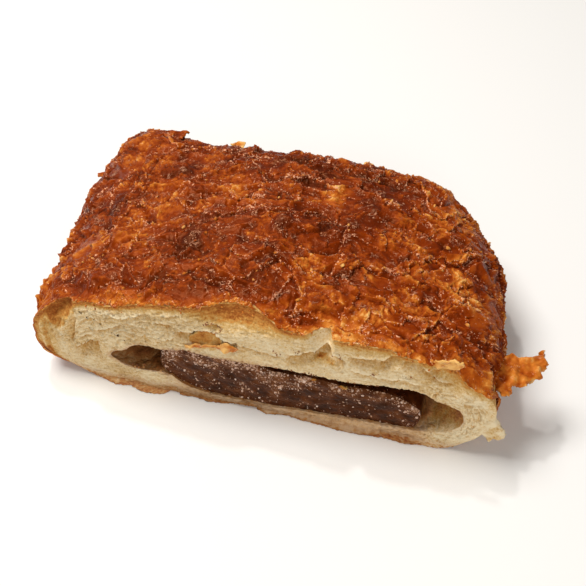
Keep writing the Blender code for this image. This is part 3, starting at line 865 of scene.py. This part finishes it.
def slab_material():
    """Apple and cinnamon paste: dark, moist and slightly glossy, with grains of sugar and starch in its face."""
    material, tree, shader, place = new_material("cinnamon_apple_paste")
    dust_and_shade = add(tree, "Attribute", attribute_name="dust_and_shade").outputs["Fac"]
    cloud = add(tree, "TexNoise", Vector=place, Scale=1 / (4 * MM), Detail=5, Roughness=0.6)
    smear = add(tree, "TexNoise", Vector=place, Scale=1 / (1.3 * MM), Detail=4, Roughness=0.7)
    smeared = add(tree, "Math", smear, 0.5, -0.25, operation="MULTIPLY_ADD")
    cloudy = add(tree, "Math", smeared, cloud, operation="ADD")
    clouded = add(tree, "Math", dust_and_shade, 0.17, cloudy, operation="MULTIPLY_ADD")
    paste = ramp(tree, clouded.outputs[0], ((0.28, "#331506"), (0.5, "#50270F"), (0.7, "#6E3F20"), (0.9, "#9C6C4C")))
    warp = add(tree, "TexNoise", Vector=place, Scale=1 / (0.5 * MM), Detail=2)
    centred = add(tree, "VectorMath", warp.outputs["Color"], (0.5, 0.5, 0.5), operation="SUBTRACT")
    warped = add(tree, "VectorMath", centred, _3=1.3 * MM, operation="SCALE")
    bent = add(tree, "VectorMath", place, warped, operation="ADD")
    grains = add(tree, "TexVoronoi", Vector=bent, Scale=1 / (0.8 * MM), Randomness=1)
    near = add(tree, "Math", dust_and_shade, -0.22, grains, operation="MULTIPLY_ADD")
    chance = add(tree, "SeparateColor", grains.outputs["Color"])
    chosen = add(tree, "Math", chance, 0.55, near, operation="MULTIPLY_ADD")
    specks = add(tree, "MapRange", chosen, 0.4, 0.24, 0, 0.85)
    powder = add(tree, "TexNoise", Vector=place, Scale=1 / (0.42 * MM), Detail=2, Roughness=0.7)
    powdered = add(tree, "Math", dust_and_shade, 0.1, powder, operation="MULTIPLY_ADD")
    film = add(tree, "MapRange", powdered, 0.665, 0.73, 0, 0.85)
    speck = add(tree, "Math", specks, film, operation="MAXIMUM")
    mixed = add(tree, "Mix", speck, _6=paste, _7=colour("#DDB496"), data_type="RGBA")
    tree.links.new(mixed.outputs[2], shader.inputs["Base Color"])
    fine = add(tree, "TexNoise", Vector=place, Scale=1 / (0.5 * MM), Detail=3)
    lumps = add(tree, "Math", fine, speck, operation="ADD")
    bump = add(tree, "Bump", Strength=0.6, Distance=0.18 * MM, Height=lumps)
    tree.links.new(bump.outputs[0], shader.inputs["Normal"])
    shader.inputs["Roughness"].default_value = 0.34
    shader.inputs["Specular IOR Level"].default_value = 0.14
    shader.inputs["Specular Tint"].default_value = colour("#FFC79A")
    return material


new_object("filling_slab", slab_mesh(), slab_material(), "apple_filling", "filling")

# ---- Torn flakes -----------------------------------------------------------------------------------------------
# Ends of the baked sheets that tore loose at the cut and at the sides, and one that dropped into the crevice. Each is
# a thin sheet cut to its torn outline, crumpled and thickened, and it hangs on the crust or dough it came from.

FLAKE_STEP = 0.26
FLAKES = (  # name, is it level, where its plane lies, thickness, crumple, brownness, outline
    ("wing_flake", True, 19.2, 1.5, 0.8, 0.35, (
        (57.4, 18.3), (58.1, 19.1), (59.2, 19.4), (60.2, 18.5), (61.3, 18.8), (62.5, 18.7), (63.7, 19.7), (64.8, 20.3),
        (65.1, 21.5), (66.5, 21.9), (66.7, 19.4), (67.9, 17.8), (67.4, 17.2), (67.5, 16.6), (66.7, 15.4), (66, 15.3),
        (66.8, 14), (66.8, 13.5), (65.3, 12.5), (64.2, 12.4), (64.1, 11.8), (63.4, 10.7), (62.9, 9.7), (62, 9.4),
        (61.3, 9.6), (59.7, 8.8), (59.8, 7.2), (59.2, 6), (58.1, 5.4), (57.1, 5.5), (55.2, 7.5), (51.6, 8.5),
        (51.1, 15.7),
    )),
    ("edge_flake", False, 1.3, 0.5, 0.5, 0.08, (
        (39, 29.6), (40.3, 31.5), (42, 32.7), (44.7, 33.5), (46.8, 33.2), (47.2, 31.4), (46.2, 30.2), (44.2, 29.5),
        (41.8, 29.5),
    )),
    ("crevice_flake", False, -0.6, 0.4, 0.7, 0.18, (
        (-20.5, 21.8), (-17.7, 22.8), (-14.3, 23.6), (-12.4, 23.4), (-11.1, 24.9), (-9.6, 25.9), (-8, 25.4),
        (-7.1, 24.6), (-6.3, 23.5), (-7.7, 22.1), (-9.4, 22.2), (-10.3, 22.9), (-12, 21.7), (-14.4, 22.1),
        (-16.4, 21.1), (-18.3, 21.4), (-20.4, 19.9),
    )),
    ("side_tab", True, 19, 0.7, 0.3, 0.36, (
        (-69.6, 59.6), (-67.9, 60.5), (-63.3, 62), (-60.3, 59), (-64.3, 57.6), (-67.3, 58.3), (-68.9, 57.8),
    )),
    ("back_sliver", True, 29.2, 0.7, 0.4, 0.58, (
        (-55.4, 70.1), (-52.8, 71.9), (-46.9, 73.2), (-43.2, 72.9), (-44.6, 69.4), (-52.1, 68.2),
    )),
    ("pale_flake_left", True, 29.6, 0.5, 0.3, 0.12, ((-30.2, 69.4), (-27.9, 72), (-25.3, 71.6), (-25.2, 68.4))),
    ("pale_flake_right", True, 30.6, 0.5, 0.3, 0.10, (
        (9.9, 68.6), (10.9, 70.8), (13.1, 70.2), (13.4, 67.4), (11.3, 67),
    )),
)
DOUGH_FLAKES = (  # name, where its plane lies, thickness, crumple, how toasted, outline
    ("low_flake", 0.4, 1.5, 0.35, 0.07, (
        (57.1, 15.9), (58.6, 13.4), (59.6, 12), (60.3, 10.3), (60.3, 9), (59.9, 8), (59, 7.3), (57.8, 7.2),
        (57.2, 6.1), (56.7, 5.4), (55.8, 6.3), (55.3, 7.7), (54.2, 8.6), (53, 11.4), (54.5, 14.6),
    )),
    ("crevice_lobe", 0.5, 0.7, 0.8, 0.38, (
        (-20.6, 20.2), (-19.5, 24.1), (-17.7, 26.2), (-15.9, 27.4), (-14, 27.6), (-12.4, 27.2), (-11.3, 25.8),
        (-10.2, 24.2), (-12, 21.6), (-14.4, 20.8), (-17.9, 20.2),
    )),
    ("roof_crumb_left", 0.2, 1, 0.5, 0.55, ((11, 16.2), (11.6, 17.1), (12.7, 17.2), (13.2, 16.5), (12.4, 15.8))),
    ("roof_crumb_right", 0.2, 1, 0.5, 0.55, ((18.2, 15.6), (19, 16.6), (20.6, 16.5), (21.2, 15.7), (19.8, 15.1))),
)


def flake_mesh(outline, level, plane, thickness, crumple, looks):
    """A crumpled sheet inside an outline in mm. Looks are the names and the values of its vertex attributes."""
    low_u, high_u = min(u for u, _ in outline), max(u for u, _ in outline)
    low_v, high_v = min(v for _, v in outline), max(v for _, v in outline)
    columns = int((high_u - low_u) / FLAKE_STEP) + 2
    rows = int((high_v - low_v) / FLAKE_STEP) + 2
    mesh = bmesh.new()
    bmesh.ops.create_grid(mesh, x_segments=columns, y_segments=rows, size=1)
    *layers, within = new_layers(mesh, *looks, "within")
    for vert in mesh.verts:
        u = low_u + (high_u - low_u) * (vert.co.x * 0.52 + 0.5)
        v = low_v + (high_v - low_v) * (vert.co.y * 0.52 + 0.5)
        vert.co = Vector((u, v, 0))
        ragged = 0.22 * ripple(u / 0.7, v / 0.7, plane)
        vert[within] = inside(outline, u, v) + ragged
    bmesh.ops.delete(mesh, geom=[vert for vert in mesh.verts if vert[within] < -0.1], context="VERTS")
    loose = [vert for vert in mesh.verts if not vert.link_faces]
    bmesh.ops.delete(mesh, geom=loose, context="VERTS")
    rim = [vert for vert in mesh.verts if vert.is_boundary]
    for _ in range(2):
        bmesh.ops.smooth_vert(mesh, verts=rim, factor=0.5, use_axis_x=True, use_axis_y=True)
    for vert in mesh.verts:
        u, v, _ = vert.co
        wide = ripple(u / 2.4, v / 2.4, plane + 3)
        fine = ripple(u / 0.9, v / 0.9, plane + 5)
        knob = smooth(-0.1, 0.6, ripple(u / 2.1, v / 2.1, plane + 9))
        rise = crumple * (wide + 0.28 * fine + knob) - 0.5 * thickness * smooth(0.7, 0, vert[within])
        paint([vert], layers, looks.values())
        baked = 0.12 * fine - 0.16 * knob - 0.18 * smooth(0.7, 0, vert[within]) + 0.16 * smooth(0.1, -0.5, wide)
        vert[layers[0]] += baked
        vert.co = Vector((u, CUT_Y + v, plane + rise)) if level else Vector((u, CUT_Y + plane - rise, v))
    sides = mesh.faces[:]
    bmesh.ops.recalc_face_normals(mesh, faces=sides)
    bmesh.ops.solidify(mesh, geom=sides, thickness=thickness)
    finish_mesh(mesh)
    return mesh


for name, level, plane, thickness, crumple, brown, outline in FLAKES:
    looks = {"brown": brown, "rough": 0.15, "rim": 0}
    flake = flake_mesh(outline, level, plane, thickness, crumple, looks)
    new_object(name, flake, egg_washed_crust, "baked_crust")
for name, plane, thickness, crumple, toast_and_shade, outline in DOUGH_FLAKES:
    flake = flake_mesh(outline, False, plane, thickness, crumple, {"toast_and_shade": toast_and_shade, "stain_and_shade": 0})
    new_object(name, flake, layered_dough, "baked_crust")

# ---- Crumbs and sugar ------------------------------------------------------------------------------------------
# What the knife left behind: flaky crumbs on the crust, in the pocket and at the tears, and grains of sugar and starch
# on the filling. Each is a small ball of faces, pressed flat or pulled out of shape, that lies on what is under it.

CRUST_CRUMBS = 300
BORDER_CRUMBS = 200
SUGAR_GRAINS = 700
POCKET_CRUMBS = 240  # tries: most of them pass under the pocket's rim, and a dozen land
DOWN = (0, 0, -1)
BACKWARDS = (0, 1, 0)
ABOVE = 60  # the height that crumbs drop from
IN_FRONT = CUT_Y - 10  # where crumbs that fly at the cut start


def surface(*pieces):
    """The faces of finished pieces, to drop crumbs on."""
    corners, faces = [], []
    for piece in pieces:
        first = len(corners)
        corners += [vert.co for vert in piece.data.vertices]
        faces += [[first + index for index in face.vertices] for face in piece.data.polygons]
    return BVHTree.FromPolygons(corners, faces)


def cast(tree, start, towards):
    """Where a line from start, in mm, meets the faces: the spot, the normal there and the face."""
    return tree.ray_cast(Vector(start) * MM, Vector(towards), 200 * MM)[:3]


def drop(mesh, tree, start, towards, size, flat, dice):
    """Puts one crumb where a line from start, in mm, meets the faces, and returns its corners."""
    spot, normal, _ = cast(tree, start, towards)
    if spot is None:
        return []
    turn = normal.to_track_quat("Z", "Y").to_matrix().to_4x4()
    turn = turn @ Euler((0, 0, dice.uniform(0, 6.3))).to_matrix().to_4x4()
    tilt = Euler((dice.uniform(-0.5, 0.5) * (1 - flat), dice.uniform(-0.5, 0.5), 0)).to_matrix().to_4x4()
    shape = Matrix.Diagonal((size * dice.uniform(0.7, 1.3), size * dice.uniform(0.5, 1), size * flat, 1))
    place = Matrix.Translation(spot / MM + normal * size * flat * 0.5) @ turn @ tilt @ shape
    corners = bmesh.ops.create_icosphere(mesh, subdivisions=1, radius=1, matrix=place)["verts"]
    for vert in corners:
        vert.co += noise.noise_vector(vert.co * 2.3) * size * 0.35
    return corners


def finish_crumbs(name, mesh, material, slot):
    """Brings the crumbs to metres and makes them a piece that stands for no solid."""
    bmesh.ops.scale(mesh, vec=(MM, MM, MM), verts=mesh.verts)
    new_object(name, mesh, material, slot)


def crumb_mesh(*names):
    """An empty mesh for crumbs, in mm, and its named attributes."""
    mesh = bmesh.new()
    return mesh, new_layers(mesh, *names)


dice = random.Random(7)
crust_piece = bpy.data.objects["crust_top"]
crust_tree = surface(crust_piece)
rims = crust_piece.data.attributes["rim"].data
mesh, layers = crumb_mesh("brown", "rough", "rim")
made = 0
while made < CRUST_CRUMBS:
    x = dice.uniform(-66, 60)
    behind = dice.uniform(0, 76)
    start = (x, CUT_Y + behind, ABOVE)
    face = cast(crust_tree, start, DOWN)[2]
    if face is None:
        continue
    rim = max(rims[corner].value for corner in crust_piece.data.polygons[face].vertices)
    near_cut = smooth(4, 0.5, behind - setback(x))
    if dice.random() > 0.02 + 0.9 * rim**1.5 + 0.8 * near_cut:
        continue
    size = 0.18 + 0.6 * dice.random() ** 2
    paint(drop(mesh, crust_tree, start, DOWN, size, 0.18, dice), layers, (dice.uniform(0.10, 0.50), 0.8, 0.4))
    made += 1
finish_crumbs("crust_crumbs", mesh, egg_washed_crust, "baked_crust")

border_tree = surface(crust_piece, bpy.data.objects["cut_dough"])
mesh, layers = crumb_mesh("brown", "rough", "rim")
made = 0
while made < BORDER_CRUMBS:
    x = dice.uniform(-52, 54)
    if dice.random() > 0.4 + ripple(x / 4, 31, 0):
        continue
    edge = setback(x)
    start = (x, CUT_Y + dice.uniform(max(0.1, edge - 0.7), edge + 0.9), ABOVE)
    towards = DOWN
    hit = cast(border_tree, start, DOWN)[0]
    over = cast(crust_tree, (x, CUT_Y + edge + 1.3, ABOVE), DOWN)[0]
    if hit is None or over is None or hit.z < over.z - 2 * MM:
        continue
    if edge < 1.5 and dice.random() < 0.3:
        start = (x, IN_FRONT, hit.z / MM - dice.uniform(0.1, 0.9))
        towards = BACKWARDS
    size = 0.12 + 0.34 * dice.random() ** 2
    paint(drop(mesh, border_tree, start, towards, size, 0.45, dice), layers, (dice.uniform(0.10, 0.42), 0.8, 0.4))
    made += 1
finish_crumbs("border_crumbs", mesh, egg_washed_crust, "baked_crust")

slab_piece = bpy.data.objects["filling_slab"]
slab_tree = surface(slab_piece)
dusted = slab_piece.data.attributes["dust_and_shade"].data


def sugar_material():
    """Grains of sugar and starch stained by the filling: pinkish, slightly see-through, so a soft low gloss."""
    material, tree, shader, place = new_material("stained_sugar")
    shade = add(tree, "TexNoise", Vector=place, Scale=1 / (1.1 * MM), Detail=2)
    tint = ramp(tree, shade.outputs["Fac"], ((0.3, "#B48A70"), (0.5, "#DDB69E"), (0.7, "#F6E0D0")))
    tree.links.new(tint, shader.inputs["Base Color"])
    shader.inputs["Roughness"].default_value = 0.45
    return material


mesh, _ = crumb_mesh()
made = 0
while made < SUGAR_GRAINS:
    start = (dice.uniform(-28, 39), IN_FRONT, dice.uniform(2.5, 19))
    face = cast(slab_tree, start, BACKWARDS)[2]
    if face is None:
        continue
    dust_and_shade = max(dusted[corner].value for corner in slab_piece.data.polygons[face].vertices)
    if dice.random() > 0.06 + 0.8 * max(0, dust_and_shade) ** 2:
        continue
    drop(mesh, slab_tree, start, BACKWARDS, 0.08 + 0.36 * dice.random() ** 2.5, 0.5, dice)
    made += 1
finish_crumbs("sugar_grains", mesh, sugar_material(), "apple_filling")

wall_tree = surface(bpy.data.objects["pocket_wall"])
mesh, layers = crumb_mesh("toast_and_shade", "stain_and_shade")
for _ in range(POCKET_CRUMBS):
    start = (dice.uniform(-41, -26.5), IN_FRONT, dice.uniform(7.5, 14))
    corners = drop(mesh, wall_tree, start, (0, 0.86, -0.5), dice.uniform(0.15, 0.5), 0.6, dice)
    paint(corners, layers, (dice.uniform(0.2, 0.9), 0.35))
finish_crumbs("pocket_crumbs", mesh, layered_dough, "baked_crust")

DARK_CRUMBS = (  # where burnt crumbs stick to the cut: x, height, how far they spread, and how many
    (-14, 30.2, 1.4, 12), (-11.2, 28.8, 1, 14), (17.5, 28.2, 1.6, 12), (12.4, 27.9, 1.2, 7), (8, 26.4, 1.2, 5),
    (3, 24.4, 1.2, 6), (-2, 18.2, 1.8, 14), (-36, 14.6, 2.4, 14), (-40.5, 11.6, 1.2, 10), (44, 16.8, 3, 8),
    (2.5, 18.8, 2, 14), (7, 18.9, 2.4, 14), (12, 18.9, 2.4, 14), (17, 18.8, 2.4, 12), (22.5, 19, 2.4, 12),
    (28, 19.8, 2.6, 10), (33.5, 20.6, 2.6, 10), (-20, 18.6, 3, 10), (35, 25.2, 2, 5), (26, 23.9, 2, 5),
)
face_tree = surface(bpy.data.objects["cut_dough"])
mesh, layers = crumb_mesh("toast_and_shade", "stain_and_shade")
for x, z, spread, count in DARK_CRUMBS:
    for _ in range(count):
        start = (x + dice.gauss(0, spread * 0.5), IN_FRONT, z + dice.gauss(0, 0.4))
        corners = drop(mesh, face_tree, start, BACKWARDS, dice.uniform(0.10, 0.28), 0.6, dice)
        paint(corners, layers, (dice.uniform(0.6, 1.1), 0.3))
finish_crumbs("burnt_crumbs", mesh, layered_dough, "baked_crust")

# ---- Table, light and camera -----------------------------------------------------------------------------------
# A pale table top, a large and a small lamp above on the left, a weak one in front, and the camera over the cut's
# right side, looking down.

TABLE_RADIUS = 4  # in metres
VIEW_DOWN = 47  # degrees under the horizon
VIEW_TURN = 14.34  # degrees to the right of the cut
CAMERA_AT = (40, CUT_Y - 128.5, 189.5)
LENS = 54.06
SENSOR_WIDTH = 36

table_mesh = bmesh.new()
bmesh.ops.create_circle(table_mesh, cap_ends=True, segments=96, radius=TABLE_RADIUS)
table_material, _, table_shader, _ = new_material("white_laminate")
table_shader.inputs["Base Color"].default_value = colour("#F4F3F1")
table_shader.inputs["Roughness"].default_value = 0.7
table_top = mesh_object("table_top", table_mesh, table_material)


def add_lamp(name, place, size, watts, tint):
    """A round soft lamp at a place in metres, turned to the middle of the table."""
    lamp = bpy.data.lights.new(name, "AREA")
    lamp.shape = "DISK"
    lamp.size = size
    lamp.energy = watts
    lamp.color = tint
    holder = link(name, lamp)
    holder.location = place
    holder.rotation_euler = (-Vector(place)).to_track_quat("-Z", "Y").to_euler()


add_lamp("ceiling_lamp", (-0.38, 0.02, 0.76), 0.40, 5.6, (1, 0.98, 0.95))
add_lamp("small_lamp", (-0.30, 0.28, 0.80), 0.06, 1.6, (1, 0.97, 0.94))
add_lamp("front_lamp", (0.30, -0.75, 0.55), 0.5, 2.6, (1, 0.98, 0.95))

world = bpy.data.worlds.new("room")
world.use_nodes = True
world.node_tree.nodes["Background"].inputs["Color"].default_value = (1, 0.95, 0.88, 1)
world.node_tree.nodes["Background"].inputs["Strength"].default_value = 0.22
bpy.context.scene.world = world

camera_data = bpy.data.cameras.new("camera")
camera_data.lens = LENS
camera_data.sensor_width = SENSOR_WIDTH
camera_data.clip_start = 0.01
camera = link("camera", camera_data)
camera.location = Vector(CAMERA_AT) * MM
camera.rotation_euler = (math.radians(90 - VIEW_DOWN), 0, math.radians(VIEW_TURN))
bpy.context.scene.camera = camera
bpy.context.scene.view_settings.view_transform = "Standard"
